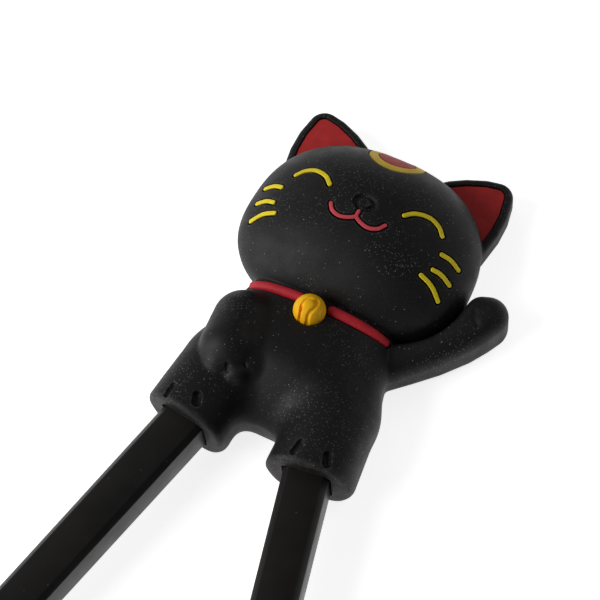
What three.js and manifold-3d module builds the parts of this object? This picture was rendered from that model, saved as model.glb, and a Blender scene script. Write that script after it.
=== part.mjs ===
// A pair of learner chopsticks joined by a moulded silicone cat with one raised paw.
// Millimetres. The cat lies on its flat back: +Z leaves the face, +Y points to the ears,
// +X is the raised paw's side. Plan positions are given from the middle of the soles and the
// whole model is then moved so that the origin lies on the flat back, behind the bell.

import * as THREE from 'three';
import { mergeVertices } from 'three/addons/utils/BufferGeometryUtils.js';
import Module from 'manifold-3d';

// ---------------------------------------------------------------- driving dimensions (mm)
const BACK_ORIGIN_Y = 22; // height of the origin above the soles
const GAP = 0.3; // clearance between neighbouring pieces

// Head: a bun shape, flat behind
const HEAD = { y: 38.8, z: 5.8, halfWidth: 18.9, halfHeight: 14.7, front: 10.9, back: 7.5 };
const HEAD_PLAN_POWER = 2.4;
const HEAD_FRONT_POWER = 1.85;
const HEAD_BACK_POWER = 3;

// Torso and legs share one padded outline
const BODY_MID_Z = 6;
const BODY_FRONT_Z = 12.4;
const BODY_EDGE_ROUND = 4.6;
const BODY_BACK_DEPTH = 3;
const LEG_GAP = { halfWidth: 4.2, top: 5.2, corner: 2 };
const SOLE_TILT = THREE.MathUtils.degToRad(8);
const SOLE_OVERRUN = 9;

// Chopsticks: a chamfered square that tapers to a blunt round tip
const STICK = { halfTop: 3.5, chamfer: 0.85, inSocket: 15, exposed: 160, mouthX: 10.26, mouthZ: 6 };
const STICK_SPLAY = THREE.MathUtils.degToRad(13.55);
const STICK_UPPER = { length: 65, half: 3.25 };
const STICK_TIP = { half: 2, round: 2.4 };
const STICK_DROOP = Math.atan((STICK.mouthZ - STICK_TIP.half - 0.05) / STICK.exposed);

// Living hinge at each hip
const HIP = { x: 7.7, y: 10.7, radius: 7.5 };
const HIP_CLEARANCE = 0.35;
const HIP_OPENING = 1.1; // room above the outside of each thigh for the outward flex
const PAW_CLEARANCE_Z = BODY_FRONT_Z + 0.45;
const CROTCH = { topX: 0.25, lowX: 1.7, lowY: 4.8, bridgeY: 14.5, bridgeHalf: 3 };

// Arms
const LOW_ARM = { x: -9.2, y: 15.5, z: 10.3, radii: [5, 8.6, 5.6], lean: 0.288 };
const HIGH_ARM = {
  shoulder: { x: 9.5, y: 24, r: 5.6 },
  paw: { x: 21.4, y: 34.4, r: 4.7 },
  edge: 3,
  front: 8.4,
};

// Ears: flat plates behind the head, each with a red inlay in its front face
const EAR = { tip: { x: 15.1, y: 55.6, r: 2.6 }, front: 5, back: 0.8, bevel: 0.6, rim: 0.95 };
const EAR_INLAY_DEPTH = 1;

// Coloured lines set in grooves of the face
const LINE_RADIUS = 0.42;
const LINE_PROUD = 0.12;
const EYE = { inner: [6.35, 41.35], top: [9.3, 43.25], outer: [12.45, 41.65] };
const WHISKERS = [
  { inner: [13.6, 39.05], outer: [16.5, 38.8], arch: 0.35 },
  { inner: [13.5, 36.15], outer: [16.4, 35.85], arch: 0.35 },
  { inner: [12.4, 34.4], outer: [15.95, 32.8], arch: 0.45 },
];
const MOUTH = { endX: 4.57, endY: 38.3, lowX: 2.5, lowY: 36.75, joinY: 37.65, stemY: 38.5 };
const NOSE = { y: 40.4, halfWidth: 1.45, halfHeight: 1.15, groove: 0.32 };
const EMBLEM = { x: -0.9, y: 51.4, outer: 4.9, inner: 3.3, depth: 1.2 };

// Collar and bell
const COLLAR = { radius: 0.8, y: 23.3, fromX: 3.1, toX: 11.7, neckHalfWidth: 12.6, proud: 0.2 };
const BELL = { radius: 2.6, y: 21.9, z: 12.5 };

// Claw notches above each sole
const TOE_NOTCHES = [{ x: 8.3, y: 1.7 }, { x: 12.9, y: 1.8 }];
const TOE_NOTCH_RADII = [0.45, 1.3, 0.9];

// ---------------------------------------------------------------- solids from three.js geometry
const wasm = await Module();
wasm.setup();

function solid(geometry) {
  const bare = geometry.clone();
  bare.deleteAttribute('normal');
  bare.deleteAttribute('uv');
  const merged = mergeVertices(bare);
  return new wasm.Manifold(new wasm.Mesh({
    numProp: 3,
    vertProperties: new Float32Array(merged.attributes.position.array),
    triVerts: new Uint32Array(merged.index.array),
  }));
}

function geometryOf(manifold) {
  const mesh = manifold.getMesh();
  const geometry = new THREE.BufferGeometry();
  geometry.setAttribute('position', new THREE.BufferAttribute(mesh.vertProperties, 3));
  geometry.setIndex(new THREE.BufferAttribute(mesh.triVerts, 1));
  return geometry;
}

const join = (...pieces) => pieces.reduce((whole, piece) => whole.add(piece));
const cut = (whole, ...tools) => tools.reduce((rest, tool) => rest.subtract(tool), whole);

function block(width, depth, height, x, y, z) {
  return new THREE.BoxGeometry(width, depth, height).translate(x, y, z);
}

const signedPower = (value, power) => Math.sign(value) * Math.abs(value) ** power;

// ---------------------------------------------------------------- head
// A sphere with its poles on Z, pushed out to a superellipsoid; offset grows it outward.
function headSolid(offset = 0, across = 36, rings = 22) {
  const geometry = new THREE.SphereGeometry(1, across, rings).rotateX(Math.PI / 2);
  const position = geometry.attributes.position;
  for (let i = 0; i < position.count; i++) {
    const [x, y, z] = [position.getX(i), position.getY(i), position.getZ(i)];
    const ring = Math.hypot(x, y);
    const front = z >= 0;
    const power = front ? HEAD_FRONT_POWER : HEAD_BACK_POWER;
    const spread = ring ** (2 / power);
    const turn = ring > 1e-6 ? [x / ring, y / ring] : [0, 0];
    position.setXYZ(
      i,
      (HEAD.halfWidth + offset) * spread * signedPower(turn[0], 2 / HEAD_PLAN_POWER),
      HEAD.y + (HEAD.halfHeight + offset) * spread * signedPower(turn[1], 2 / HEAD_PLAN_POWER),
      HEAD.z + ((front ? HEAD.front : HEAD.back) + offset) * signedPower(z, 2 / power),
    );
  }
  return solid(geometry);
}

// Height of the face above a plan position
function faceZ(x, y) {
  const across = Math.abs(x / HEAD.halfWidth) ** HEAD_PLAN_POWER;
  const along = Math.abs((y - HEAD.y) / HEAD.halfHeight) ** HEAD_PLAN_POWER;
  const rest = 1 - (across + along) ** (HEAD_FRONT_POWER / HEAD_PLAN_POWER);
  return HEAD.z + HEAD.front * Math.max(rest, 0) ** (1 / HEAD_FRONT_POWER);
}

// ---------------------------------------------------------------- torso and legs
// Half-widths of the torso from the soles up to the neck, which ends inside the head
const FLANK = [[17.3, -SOLE_OVERRUN], [17, 1.5], [16.3, 8], [15.5, 12.5], [14.2, 17.2], [13, 20.5],
  [12.4, 23.3], [12, 30]];

function torsoShape() {
  const { halfWidth, top, corner } = LEG_GAP;
  const shape = new THREE.Shape();
  shape.moveTo(halfWidth, -SOLE_OVERRUN);
  FLANK.forEach(([x, y]) => shape.lineTo(x, y));
  [...FLANK].reverse().forEach(([x, y]) => shape.lineTo(-x, y));
  shape.lineTo(-halfWidth, -SOLE_OVERRUN);
  shape.lineTo(-halfWidth, top - corner);
  shape.absarc(-halfWidth + corner, top - corner, corner, Math.PI, Math.PI / 2, true);
  shape.lineTo(halfWidth - corner, top);
  shape.absarc(halfWidth - corner, top - corner, corner, Math.PI / 2, 0, true);
  shape.closePath();
  return shape;
}

// Padded plate: its outline is widest at midZ and rounds over to the front face
function padded(shape, midZ, frontZ, edge, backDepth, curveSegments) {
  const rise = frontZ - midZ;
  return new THREE.ExtrudeGeometry(shape, {
    depth: backDepth,
    bevelThickness: rise,
    bevelSize: edge,
    bevelOffset: -edge,
    bevelSegments: 4,
    curveSegments,
  }).translate(0, 0, midZ - backDepth);
}

// Height of the padded torso's front, x from the middle of a row of the given half-width
function torsoZ(x, halfWidth) {
  const inset = Math.min(Math.max(halfWidth - Math.abs(x), 0), BODY_EDGE_ROUND);
  const fall = 1 - inset / BODY_EDGE_ROUND;
  return BODY_MID_Z + (BODY_FRONT_Z - BODY_MID_Z) * Math.sqrt(1 - fall * fall);
}

function prism(shape, fromZ, toZ, curveSegments = 24) {
  const options = { depth: toZ - fromZ, bevelEnabled: false, curveSegments };
  return solid(new THREE.ExtrudeGeometry(shape, options).translate(0, 0, fromZ));
}

// Everything that turns with one leg, in plan: a disc round the hip and the leg below it
function legRegion(side, grow) {
  const { x, y, radius } = HIP;
  const disc = new THREE.Shape();
  disc.absarc(side * x, y, radius + grow, 0, 2 * Math.PI, false);
  const leg = new THREE.Shape();
  const outside = 30;
  const thighY = grow > 0 ? y : y - HIP_OPENING;
  leg.moveTo(side * (CROTCH.topX - grow), y);
  leg.lineTo(side * (CROTCH.lowX - grow), CROTCH.lowY);
  leg.lineTo(side * (CROTCH.lowX - grow), -outside);
  leg.lineTo(side * outside, -outside);
  leg.lineTo(side * outside, thighY);
  leg.lineTo(side * (x + radius + grow), thighY);
  leg.closePath();
  return join(prism(disc, -1, PAW_CLEARANCE_Z), prism(leg, -1, PAW_CLEARANCE_Z));
}

// ---------------------------------------------------------------- chopstick frame and body
// Local frame of one stick: z runs down the stick from the sole, y faces the front of the cat
function stickFrame(side) {
  const down = new THREE.Vector3(
    side * Math.sin(STICK_SPLAY) * Math.cos(STICK_DROOP),
    -Math.cos(STICK_SPLAY) * Math.cos(STICK_DROOP),
    -Math.sin(STICK_DROOP),
  );
  const across = new THREE.Vector3().crossVectors(new THREE.Vector3(0, 0, 1), down).normalize();
  const front = new THREE.Vector3().crossVectors(down, across);
  return new THREE.Matrix4()
    .makeBasis(across, front, down)
    .setPosition(side * STICK.mouthX, 0, STICK.mouthZ);
}

function stickHalf(t) {
  if (t <= 0) return STICK.halfTop;
  if (t <= STICK_UPPER.length) {
    return THREE.MathUtils.lerp(STICK.halfTop, STICK_UPPER.half, t / STICK_UPPER.length);
  }
  const lower = (t - STICK_UPPER.length) / (STICK.exposed - STICK_UPPER.length);
  const half = THREE.MathUtils.lerp(STICK_UPPER.half, STICK_TIP.half, lower);
  const intoTip = Math.max(t - (STICK.exposed - STICK_TIP.round), 0) / STICK_TIP.round;
  return half * Math.sqrt(1 - 0.75 * intoTip ** 2);
}

// Chamfer as a share of the half-width: sharp-edged at the top, a regular octagon at the tip
function stickChamfer(t) {
  const octagon = 2 - Math.SQRT2;
  const lower = Math.max(t - STICK_UPPER.length, 0) / (STICK.exposed - STICK_UPPER.length);
  return THREE.MathUtils.lerp(STICK.chamfer / STICK.halfTop, octagon, Math.min(lower * 1.3, 1));
}

function chopstick() {
  const tipStart = STICK.exposed - STICK_TIP.round;
  const stations = [-STICK.inSocket, 0, STICK_UPPER.length, 90, 115, 140, tipStart,
    tipStart + STICK_TIP.round * 0.6, STICK.exposed];
  const [h, c] = [1, 0.5];
  const corners = [[h, -c], [h, c], [c, h], [-c, h], [-h, c], [-h, -c], [-c, -h], [c, -h]];
  const section = new THREE.Shape(corners.map(([x, y]) => new THREE.Vector2(x, y)));
  const steps = stations.length - 1;
  const geometry = new THREE.ExtrudeGeometry(section, { depth: steps, steps, bevelEnabled: false });
  const position = geometry.attributes.position;
  for (let i = 0; i < position.count; i++) {
    const t = stations[Math.round(position.getZ(i))];
    const half = stickHalf(t);
    const flat = half * (1 - stickChamfer(t));
    const [x, y] = [position.getX(i), position.getY(i)];
    const wide = Math.abs(x) > Math.abs(y);
    position.setXYZ(i, Math.sign(x) * (wide ? half : flat), Math.sign(y) * (wide ? flat : half), t);
  }
  return geometry;
}

function socket(side) {
  const width = 2 * (STICK.halfTop + GAP);
  const outside = 12;
  const depth = STICK.inSocket + GAP;
  const hole = block(width, width, depth + outside, 0, 0, (outside - depth) / 2);
  return solid(hole.applyMatrix4(stickFrame(side)));
}

// Wedge of space below the tilted sole of one foot
function belowSole(side) {
  const wedge = block(60, 40, 60, side * 30, -20, 0);
  wedge.translate(-side * STICK.mouthX, 0, 0).rotateZ(side * SOLE_TILT);
  return solid(wedge.translate(side * STICK.mouthX, 0, 0));
}

// ---------------------------------------------------------------- arms and ears
function lowArm() {
  const { x, y, z, radii, lean } = LOW_ARM;
  const sphere = new THREE.SphereGeometry(1, 24, 16).rotateX(Math.PI / 2);
  return solid(sphere.scale(...radii).rotateZ(lean).translate(x, y, z));
}

// Outline of two circles and their outer tangents, from the shoulder up to the paw
function highArm() {
  const { shoulder, paw, edge, front } = HIGH_ARM;
  const run = Math.hypot(paw.x - shoulder.x, paw.y - shoulder.y);
  const heading = Math.atan2(paw.y - shoulder.y, paw.x - shoulder.x);
  const open = Math.acos((shoulder.r - paw.r) / run);
  const shape = new THREE.Shape();
  shape.absarc(paw.x, paw.y, paw.r, heading - open, heading + open, false);
  shape.absarc(shoulder.x, shoulder.y, shoulder.r, heading + open, heading - open, false);
  shape.closePath();
  return solid(padded(shape, front / 2, front, edge, 1.2, 10));
}

// Rounded triangle leaning outward; inset draws the smaller outline of the inlay
function earShape(side, inset) {
  const { x, y, r } = EAR.tip;
  const radius = r - inset;
  const shape = new THREE.Shape();
  const flank = 0.12;
  const roof = 1.92;
  shape.moveTo(18.6 - inset, 46);
  shape.quadraticCurveTo(18.7 - inset, 52, x + radius * Math.cos(flank), y + radius * Math.sin(flank));
  shape.absarc(x, y, radius, flank, roof, false);
  shape.quadraticCurveTo(9.5, 57.2 - inset, 4.5 + inset, 53.4 - inset);
  shape.lineTo(4.5 + inset, 46);
  shape.closePath();
  const points = shape.getPoints(5).map((point) => new THREE.Vector2(side * point.x, point.y));
  return new THREE.Shape(side < 0 ? points.reverse() : points);
}

function earPlate(side) {
  const options = {
    depth: EAR.front - EAR.back - 2 * EAR.bevel,
    bevelThickness: EAR.bevel,
    bevelSize: EAR.bevel,
    bevelOffset: -EAR.bevel,
    bevelSegments: 2,
  };
  const plate = new THREE.ExtrudeGeometry(earShape(side, 0), options);
  return solid(plate.translate(0, 0, EAR.back + EAR.bevel));
}

function earInlay(side, head) {
  const from = EAR.front - EAR_INLAY_DEPTH;
  const shape = prism(earShape(side, EAR.rim + GAP / 2), from, EAR.front - 0.05);
  return cut(shape, head);
}

function earPocket(side) {
  return prism(earShape(side, EAR.rim - GAP / 2), EAR.front - EAR_INLAY_DEPTH - GAP, EAR.front + 1);
}

// ---------------------------------------------------------------- lines of the face
function disc(radius, sides) {
  const corners = Array.from({ length: sides }, (_, i) => {
    const angle = (2 * Math.PI * (i + 0.5)) / sides;
    return new THREE.Vector2(radius * Math.cos(angle), radius * Math.sin(angle));
  });
  return new THREE.Shape(corners);
}

// Bar of round section along plan points that lie on the face
function faceBar(points, radius, steps, lengthen = 0) {
  const path = points.map(([x, y]) => new THREE.Vector3(x, y, faceZ(x, y) + LINE_PROUD));
  return bar(path, radius, steps, lengthen);
}

// A groove is the same bar, lengthened, with six sides that all stay GAP clear
function bar(path, radius, steps, lengthen = 0) {
  const sides = lengthen > 0 ? 6 : 8;
  const stretched = path.map((point) => point.clone());
  const ends = [[0, 1], [path.length - 1, path.length - 2]];
  ends.forEach(([end, next]) => {
    const outward = path[end].clone().sub(path[next]).setLength(lengthen);
    stretched[end].add(outward);
  });
  const curve = new THREE.CatmullRomCurve3(stretched);
  const options = { steps, extrudePath: curve, bevelEnabled: false };
  const flatRadius = lengthen > 0 ? radius / Math.cos(Math.PI / sides) : radius;
  return solid(new THREE.ExtrudeGeometry(disc(flatRadius, sides), options));
}

const mirrored = (points, side) => points.map(([x, y]) => [side * x, y]);

function eyePoints(side) {
  const { inner, top, outer } = EYE;
  const arch = new THREE.CatmullRomCurve3([inner, top, outer].map(([x, y]) => new THREE.Vector3(x, y, 0)));
  return mirrored(arch.getPoints(4).map((point) => [point.x, point.y]), side);
}

function whiskerPoints({ inner, outer, arch }, side) {
  const middle = [(inner[0] + outer[0]) / 2, (inner[1] + outer[1]) / 2 + arch];
  return mirrored([inner, middle, outer], side);
}

function mouth(radius, lengthen) {
  const { endX, endY, lowX, lowY, joinY, stemY } = MOUTH;
  const half = [[0, joinY], [1, 37.0], [lowX, lowY], [3.9, 37.25], [endX, endY]];
  const stem = [[0, joinY - 0.4], [0, (joinY + stemY) / 2], [0, stemY]];
  return join(
    faceBar(half, radius, 8, lengthen),
    faceBar(mirrored(half, -1), radius, 8, lengthen),
    faceBar(stem, radius, 2, lengthen),
  );
}

function noseGroove() {
  const { y, halfWidth, halfHeight, groove } = NOSE;
  const ring = new THREE.TorusGeometry(1, groove / halfWidth, 6, 20);
  return solid(ring.scale(halfWidth, halfHeight, halfWidth).translate(0, y, faceZ(0, y)));
}

// Tube or rod along the face's normal at the emblem
function emblemCore(outer, inner) {
  const shape = new THREE.Shape().absarc(0, 0, outer, 0, 2 * Math.PI, false);
  if (inner > 0) shape.holes.push(new THREE.Path().absarc(0, 0, inner, 0, 2 * Math.PI, true));
  const { x, y } = EMBLEM;
  const step = 0.05;
  const slopeX = (faceZ(x + step, y) - faceZ(x - step, y)) / (2 * step);
  const slopeY = (faceZ(x, y + step) - faceZ(x, y - step)) / (2 * step);
  const normal = new THREE.Vector3(-slopeX, -slopeY, 1).normalize();
  const turn = new THREE.Quaternion().setFromUnitVectors(new THREE.Vector3(0, 0, 1), normal);
  const half = 5;
  const options = { depth: 2 * half, bevelEnabled: false, curveSegments: 12 };
  const geometry = new THREE.ExtrudeGeometry(shape, options).translate(0, 0, -half);
  geometry.applyQuaternion(turn).translate(x, y, faceZ(x, y));
  return solid(geometry);
}

// ---------------------------------------------------------------- collar and bell
function collarPath(side) {
  const steps = 6;
  return Array.from({ length: steps + 1 }, (_, i) => {
    const x = THREE.MathUtils.lerp(COLLAR.fromX, COLLAR.toX, i / steps);
    return new THREE.Vector3(side * x, COLLAR.y, torsoZ(x, COLLAR.neckHalfWidth) + COLLAR.proud);
  });
}

function bellBody(offset) {
  const profile = Array.from({ length: 13 }, (_, i) => {
    const angle = (Math.PI * i) / 12;
    const radius = BELL.radius + offset;
    return new THREE.Vector2(radius * Math.sin(angle), -radius * Math.cos(angle));
  });
  profile[0].x = 0;
  profile[profile.length - 1].x = 0;
  const turned = new THREE.LatheGeometry(profile, 20).rotateX(Math.PI / 2);
  return solid(turned.translate(0, BELL.y, BELL.z));
}

// ---------------------------------------------------------------- assembly
const underBack = solid(block(200, 200, 20, 0, 0, -10));
const head = headSolid();
const headUnderInlay = headSolid(-EMBLEM.depth);
const headUnderPocket = headSolid(-EMBLEM.depth - GAP);
const plate = padded(torsoShape(), BODY_MID_Z, BODY_FRONT_Z, BODY_EDGE_ROUND, BODY_BACK_DEPTH, 4);
const torso = cut(solid(plate), underBack, belowSole(-1), belowSole(1));
const sides = [['left', -1], ['right', 1]];

const parts = new Map();

function legSolid(side) {
  const notches = TOE_NOTCHES.map(({ x, y }) => {
    const notch = new THREE.SphereGeometry(1, 10, 8).scale(...TOE_NOTCH_RADII);
    return solid(notch.rotateZ(-side * 0.1).translate(side * x, y, BODY_FRONT_Z));
  });
  return cut(torso.intersect(legRegion(side, 0)), socket(side), ...notches);
}

for (const [name, side] of sides) {
  parts.set(`${name}_leg`, { solid: legSolid(side), finish: 'black' });
  parts.set(`${name}_chopstick`, {
    solid: solid(chopstick().applyMatrix4(stickFrame(side))),
    finish: 'stick',
  });
  parts.set(`${name}_ear_inlay`, { solid: earInlay(side, headSolid(GAP)), finish: 'earRed' });
  parts.set(`${name}_eye`, { solid: faceBar(eyePoints(side), LINE_RADIUS, 8), finish: 'yellow' });
  WHISKERS.forEach((whisker, i) => {
    const row = ['upper', 'middle', 'lower'][i];
    const line = faceBar(whiskerPoints(whisker, side), LINE_RADIUS, 4);
    parts.set(`${name}_${row}_whisker`, { solid: line, finish: 'yellow' });
  });
  const strap = cut(bar(collarPath(side), COLLAR.radius, 8), bellBody(GAP));
  parts.set(`${name}_collar`, { solid: strap, finish: 'collarRed' });
}
parts.set('mouth', { solid: mouth(LINE_RADIUS, 0), finish: 'mouthRed' });
parts.set('bell', { solid: bellBody(0), finish: 'bellYellow' });
parts.set('forehead_ring', {
  solid: cut(head.intersect(emblemCore(EMBLEM.outer, EMBLEM.inner)), headUnderInlay),
  finish: 'gold',
});
parts.set('forehead_disc', {
  solid: cut(head.intersect(emblemCore(EMBLEM.inner - GAP, 0)), headUnderInlay),
  finish: 'discRed',
});

function grooves() {
  const radius = LINE_RADIUS + GAP;
  const tools = [mouth(radius, GAP), noseGroove(), bellBody(GAP)];
  for (const [, side] of sides) {
    tools.push(faceBar(eyePoints(side), radius, 8, GAP));
    WHISKERS.forEach((whisker) => tools.push(faceBar(whiskerPoints(whisker, side), radius, 4, GAP)));
    tools.push(bar(collarPath(side), COLLAR.radius + GAP, 8, GAP));
    tools.push(earPocket(side).subtract(head));
  }
  tools.push(cut(emblemCore(EMBLEM.outer + GAP, 0), headUnderPocket));
  return tools;
}

function topperBody() {
  const { bridgeY, bridgeHalf } = CROTCH;
  const bridge = solid(block(2 * bridgeHalf, 60, 60, 0, bridgeY - 30, 30 + PAW_CLEARANCE_Z - 60));
  const hips = sides.map(([, side]) => legRegion(side, HIP_CLEARANCE));
  const silicone = join(head, torso, lowArm(), highArm(), earPlate(-1), earPlate(1));
  return cut(silicone, underBack, ...hips, bridge, ...grooves());
}
parts.set('topper_body', { solid: topperBody(), finish: 'black' });

const FINISHES = {
  black: { color: 0x1f1e20, roughness: 0.75, metalness: 0 },
  stick: { color: 0x17161a, roughness: 0.35, metalness: 0 },
  earRed: { color: 0x8c2329, roughness: 0.7, metalness: 0 },
  discRed: { color: 0x962d28, roughness: 0.7, metalness: 0 },
  mouthRed: { color: 0xcd4650, roughness: 0.65, metalness: 0 },
  collarRed: { color: 0xb42332, roughness: 0.65, metalness: 0 },
  yellow: { color: 0xe1cd2d, roughness: 0.65, metalness: 0 },
  bellYellow: { color: 0xf5b40a, roughness: 0.6, metalness: 0 },
  gold: { color: 0xc89628, roughness: 0.6, metalness: 0 },
};

const model = new THREE.Group();
model.position.y = -BACK_ORIGIN_Y;
for (const [name, { solid: body, finish }] of parts) {
  const mesh = new THREE.Mesh(geometryOf(body), new THREE.MeshStandardMaterial(FINISHES[finish]));
  mesh.name = name;
  model.add(mesh);
}

export default model;
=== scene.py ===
import math

import bpy
import numpy as np
from mathutils import Matrix, Vector


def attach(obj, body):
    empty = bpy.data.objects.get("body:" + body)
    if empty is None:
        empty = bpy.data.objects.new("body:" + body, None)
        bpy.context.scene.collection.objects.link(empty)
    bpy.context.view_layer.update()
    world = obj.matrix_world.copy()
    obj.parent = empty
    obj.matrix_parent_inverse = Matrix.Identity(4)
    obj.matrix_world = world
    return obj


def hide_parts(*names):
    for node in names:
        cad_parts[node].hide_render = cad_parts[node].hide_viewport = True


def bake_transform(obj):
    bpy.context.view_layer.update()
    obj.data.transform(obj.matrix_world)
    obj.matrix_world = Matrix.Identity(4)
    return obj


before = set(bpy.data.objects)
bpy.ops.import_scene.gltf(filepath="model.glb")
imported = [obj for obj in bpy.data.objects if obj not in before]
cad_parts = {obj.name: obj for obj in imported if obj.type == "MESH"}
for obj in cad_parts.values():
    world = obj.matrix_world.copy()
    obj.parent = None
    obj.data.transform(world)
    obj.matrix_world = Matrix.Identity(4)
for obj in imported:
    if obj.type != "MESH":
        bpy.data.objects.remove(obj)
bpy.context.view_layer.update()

# Every shape below is worked out in millimetres, with y counted up from the middle of the soles.
# MM and SOLES turn that into the row frame.
MM = 0.001
SOLES = 22.0

# ------------------------------------------------------------------ driving dimensions (mm)
HEAD_CENTRE = np.array([0.0, 38.8, 5.8])
HEAD_HALF = (18.8, 14.7)
HEAD_ABOVE = 15.15  # half height above the centre
HEAD_FRONT, HEAD_BACK = 10.87, 7.5
HEAD_PLAN, HEAD_CHEEK_PLAN = 2.4, 2.55  # above and below the centre
HEAD_FRONT_POWER, HEAD_BACK_POWER = 1.85, 3.0
HEAD_TAPER = 0.062  # the head is this much narrower towards the ears, per mm

LINE_RADIUS, LINE_PROUD, LINE_GAP = 0.37, 0.1, 0.23
EYE = [(6.3, 41.3), (7.6, 42.55), (9.6, 43.2), (11.3, 42.75), (12.45, 41.65)]
WHISKERS = {
    "upper": [(13.6, 39.05), (15.0, 39.2), (16.5, 38.8)],
    "middle": [(13.5, 36.15), (14.9, 36.3), (16.4, 35.85)],
    "lower": [(12.4, 34.4), (14.3, 33.95), (15.95, 32.8)],
}
MOUTH_HALF = [(0, 37.65), (0.9, 37.1), (2.4, 36.75), (3.8, 37.25), (4.57, 38.3)]
MOUTH_STEM = [(0, 37.65), (0, 38.6)]
MOUTH_RADIUS = 0.32
NOSE_X, NOSE_Y = 0.22, 40.3
NOSE_RADIUS, NOSE_STRETCH, NOSE_GROOVE = 1.15, 1.25, 0.4
EMBLEM = {"x": -0.1, "y": 52.0, "outer": 4.55, "inner": 3.1, "gap": 0.12, "depth": 0.55}

STICK_SPLAY = math.radians(13.55)
STICK_DROOP = math.atan(3.95 / 160)
STICK_MOUTH = np.array([10.26, 0.0, 6.0])
STICK_HALF = 3.5
SOCKET_HALF, SOCKET_DEPTH, SOCKET_CHAMFER = STICK_HALF + 0.22, 15.3, 0.7
LINING_FROM = 1.2  # how far inside its mouth a socket turns with the leg as one piece
SOLE_TILT = math.radians(8)


# ------------------------------------------------------------------ distance functions
def smax(a, b, k):
    h = np.clip(0.5 + 0.5 * (a - b) / k, 0, 1)
    return b + (a - b) * h + k * h * (1 - h)


def smin(a, b, k):
    return -smax(-a, -b, k)


def bun(p, centre, half, plan, rise):
    """Close to the distance from a superellipsoid; half and rise may differ from point to point."""
    q = np.abs(p - centre) / half + 1e-7
    across, along, up = q.T
    ring = across**plan + along**plan
    value = (ring ** (rise / plan) + up**rise) ** (1 / rise)
    slope = ring ** (rise / plan - 1)
    g = np.stack([slope * across ** (plan - 1), slope * along ** (plan - 1), up ** (rise - 1)], 1)
    g *= (value ** (1 - rise))[:, None] / half
    return (value - 1) / np.maximum(np.linalg.norm(g, axis=1), 1e-9)


def head_half_width(y):
    return HEAD_HALF[0] - HEAD_TAPER * (y - HEAD_CENTRE[1])


def head_half_height(y):
    return np.where(y > HEAD_CENTRE[1], HEAD_ABOVE, HEAD_HALF[1])


def head_plan(y):
    return np.where(y > HEAD_CENTRE[1], HEAD_PLAN, HEAD_CHEEK_PLAN)


def head(p):
    front = p[:, 2] > HEAD_CENTRE[2]
    half = np.empty_like(p)
    half[:, 0], half[:, 1] = head_half_width(p[:, 1]), head_half_height(p[:, 1])
    half[:, 2] = np.where(front, HEAD_FRONT, HEAD_BACK)
    rise = np.where(front, HEAD_FRONT_POWER, HEAD_BACK_POWER)
    return bun(p, HEAD_CENTRE, half, head_plan(p[:, 1]), rise)


def face_z(x, y):
    across, along = x / head_half_width(y), (y - HEAD_CENTRE[1]) / head_half_height(y)
    plan = head_plan(y)
    ring = np.abs(across) ** plan + np.abs(along) ** plan
    rest = np.maximum(1 - ring ** (HEAD_FRONT_POWER / plan), 0)
    return HEAD_CENTRE[2] + HEAD_FRONT * rest ** (1 / HEAD_FRONT_POWER)


def polygon(x, y, corners):
    """Signed distance from a polygon in plan."""
    c = np.array(corners, float)
    best = np.full(len(x), 1e9)
    inside = np.zeros(len(x), bool)
    for (ax, ay), (bx, by) in zip(c, np.roll(c, -1, axis=0)):
        ex, ey = bx - ax, by - ay
        px, py = x - ax, y - ay
        t = np.clip((px * ex + py * ey) / (ex * ex + ey * ey), 0, 1)
        best = np.minimum(best, (px - t * ex) ** 2 + (py - t * ey) ** 2)
        if by != ay:
            inside ^= ((ay > y) != (by > y)) & (x < ex * (y - ay) / (by - ay) + ax)
    return np.where(inside, -1, 1) * np.sqrt(best)


def slab(flat, z, low, high, edge):
    """A plan outline stood up between two heights, with its edges rounded by `edge`."""
    rise = np.abs(z - (low + high) / 2) - (high - low) / 2
    a, b = flat + edge, rise + edge
    return np.hypot(np.maximum(a, 0), np.maximum(b, 0)) + np.minimum(np.maximum(a, b), 0) - edge


def rod(p, a, b, radius):
    a, b = np.array(a, float), np.array(b, float)
    t = np.clip((p - a) @ (b - a) / ((b - a) @ (b - a)), 0, 1)
    return np.linalg.norm(p - a - t[:, None] * (b - a), axis=1) - radius


def chain(p, points, radius):
    """Rods with round ends from point to point."""
    d = np.full(len(p), 1e9)
    low, high = points.min(0) - radius - 2.5, points.max(0) + radius + 2.5
    near = np.all((p > low) & (p < high), axis=1)
    q = p[near]
    best = np.full(len(q), 1e9)
    for a, b in zip(points[:-1], points[1:]):
        best = np.minimum(best, rod(q, a, b, radius))
    d[near] = best
    return d


def on_face(plan, lift=0.0, side=1):
    plan = np.array(plan, float) * (side, 1)
    return np.column_stack([plan, face_z(plan[:, 0], plan[:, 1]) + lift])


def smooth_plan(points, steps=5):
    """Catmull-Rom through plan points."""
    c = np.array(points, float)
    c = np.vstack([2 * c[0] - c[1], c, 2 * c[-1] - c[-2]])
    out = []
    for a, b, m, n in zip(c[:-3], c[1:-2], c[2:-1], c[3:]):
        for t in np.arange(steps) / steps:
            out.append(0.5 * (2 * b + (m - a) * t + (2 * a - 5 * b + 4 * m - n) * t**2
                              + (3 * b - a - 3 * m + n) * t**3))
    out.append(c[-2])
    return np.array(out)


# ------------------------------------------------------------------ black silicone
BELLY_Y, BELLY_BELOW, BELLY_Z, BELLY_DEPTH = 16.0, 11.2, 5.5, 14.0
BELLY_PLAN, BELLY_BACK_POWER = 2.5, 2.4


def profile(*rows):
    """A smooth curve through (height, size) rows."""
    heights, sizes = zip(*rows)
    return np.polynomial.Polynomial.fit(heights, sizes, 4)


# half width of the trunk
FLANK = profile((5, 14.2), (10, 14.7), (14.7, 14.75), (18, 13.95), (21, 13.1), (23.3, 12.5),
                (26, 11.95), (30, 11.5))
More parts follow.
